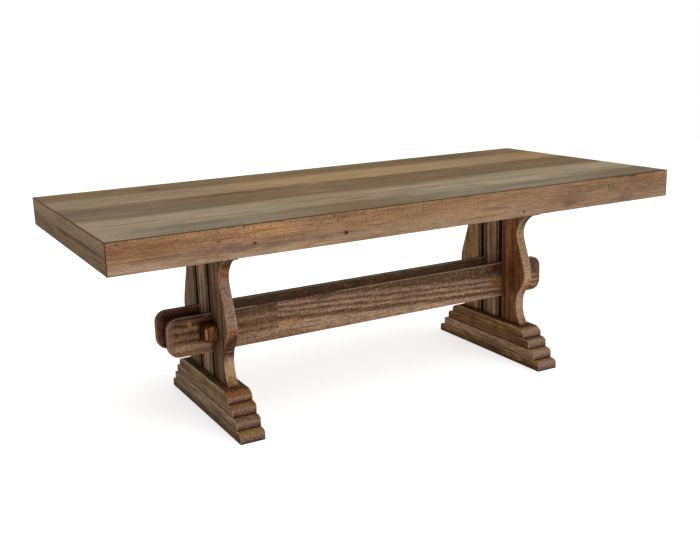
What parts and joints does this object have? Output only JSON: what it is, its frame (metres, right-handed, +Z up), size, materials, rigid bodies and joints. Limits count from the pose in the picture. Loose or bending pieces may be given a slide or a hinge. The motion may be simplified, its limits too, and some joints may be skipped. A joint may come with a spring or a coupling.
{
  "type": "trestle dining table",
  "caption": "Long wooden dining table on two trestles with curved posts and stepped feet, tied by twin stretcher boards locked with pegs.",
  "frame": {"origin": "on the floor under the middle of the top", "axes": "+X along the length of the table, +Y across it towards the back, +Z up"},
  "size_m": [2.16, 0.97, 0.762],
  "materials": {
    "top_wood": "satin lacquer over weathered brown and grey planks",
    "apron_wood": "satin lacquer over saw-marked reddish tan wood",
    "foot_wood": "satin lacquer over wire-brushed dark brown wood, worn at the edges",
    "post_wood": "satin lacquer over dark brown wood, worn pale along the curved edges",
    "stretcher_wood": "satin lacquer over rough-sawn dark brown wood",
    "peg_wood": "satin lacquer over orange brown wood",
    "inner_wood": "plain sawn softwood",
    "dowel_wood": "plain turned hardwood",
    "zinc_steel": "zinc plated",
    "brass_insert": "plain turned brass"
  },
  "bodies": {
    "table": {"apron_front": "apron_wood", "apron_glue_blocks": "inner_wood", "apron_left": "apron_wood", "apron_rear": "apron_wood", "apron_right": "apron_wood", "batten_left": "inner_wood", "batten_middle": "inner_wood", "batten_right": "inner_wood", "batten_screws": "zinc_steel", "bolster_bolts": "zinc_steel", "bolster_left": "post_wood", "bolster_right": "post_wood", "bolster_washers": "zinc_steel", "centre_post_left": "post_wood", "centre_post_right": "post_wood", "corner_blocks": "inner_wood", "foot_bolts": "zinc_steel", "foot_layer_1_left": "foot_wood", "foot_layer_1_right": "foot_wood", "foot_layer_2_left": "foot_wood", "foot_layer_2_right": "foot_wood", "foot_layer_3_left": "foot_wood", "foot_layer_3_right": "foot_wood", "foot_layer_4_left": "foot_wood", "foot_layer_4_right": "foot_wood", "front_post_left": "post_wood", "front_post_right": "post_wood", "rear_post_left": "post_wood", "rear_post_right": "post_wood", "stretcher_dowels_left": "dowel_wood", "stretcher_dowels_right": "dowel_wood", "stretcher_front": "stretcher_wood", "stretcher_rear": "stretcher_wood", "threaded_inserts": "brass_insert", "top_plank_1": "top_wood", "top_plank_2": "top_wood", "top_plank_3": "top_wood", "top_plank_4": "top_wood", "top_plank_5": "top_wood"},
    "peg_left": {"peg_left": "peg_wood"},
    "peg_right": {"peg_right": "peg_wood"}
  },
  "joints": [
    {"name": "peg_left_slide", "type": "slide", "parent": "table", "child": "peg_left", "axis": [0, -1, 0], "range_m": [0, 0.173]},
    {"name": "peg_right_slide", "type": "slide", "parent": "table", "child": "peg_right", "axis": [0, -1, 0], "range_m": [0, 0.173]}
  ]
}
